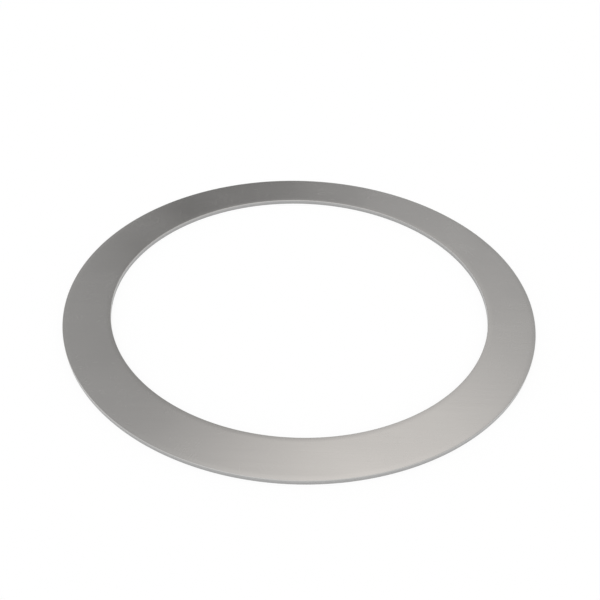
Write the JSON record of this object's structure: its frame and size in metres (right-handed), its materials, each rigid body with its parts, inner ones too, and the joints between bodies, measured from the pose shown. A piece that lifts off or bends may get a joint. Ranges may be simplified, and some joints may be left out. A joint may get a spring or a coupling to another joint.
{
  "type": "shim ring",
  "caption": "Thin flat steel ring with a wide plain bore, laid over a shaft or into a housing to fill a narrow gap and take up end play.",
  "frame": {"origin": "centre of the bore on the lower face, the face that the ring rests on", "axes": "+Z along the ring's axis, up through the bore; X and Y lie in the lower face and are alike, as the ring is round"},
  "size_m": [0.056, 0.056, 0.0006],
  "materials": {
    "cold_rolled_steel": "satin cold-rolled strip with a faint straight rolling grain, tumbled after blanking"
  },
  "bodies": {
    "root": {"shim_ring": "cold_rolled_steel"}
  },
  "joints": []
}
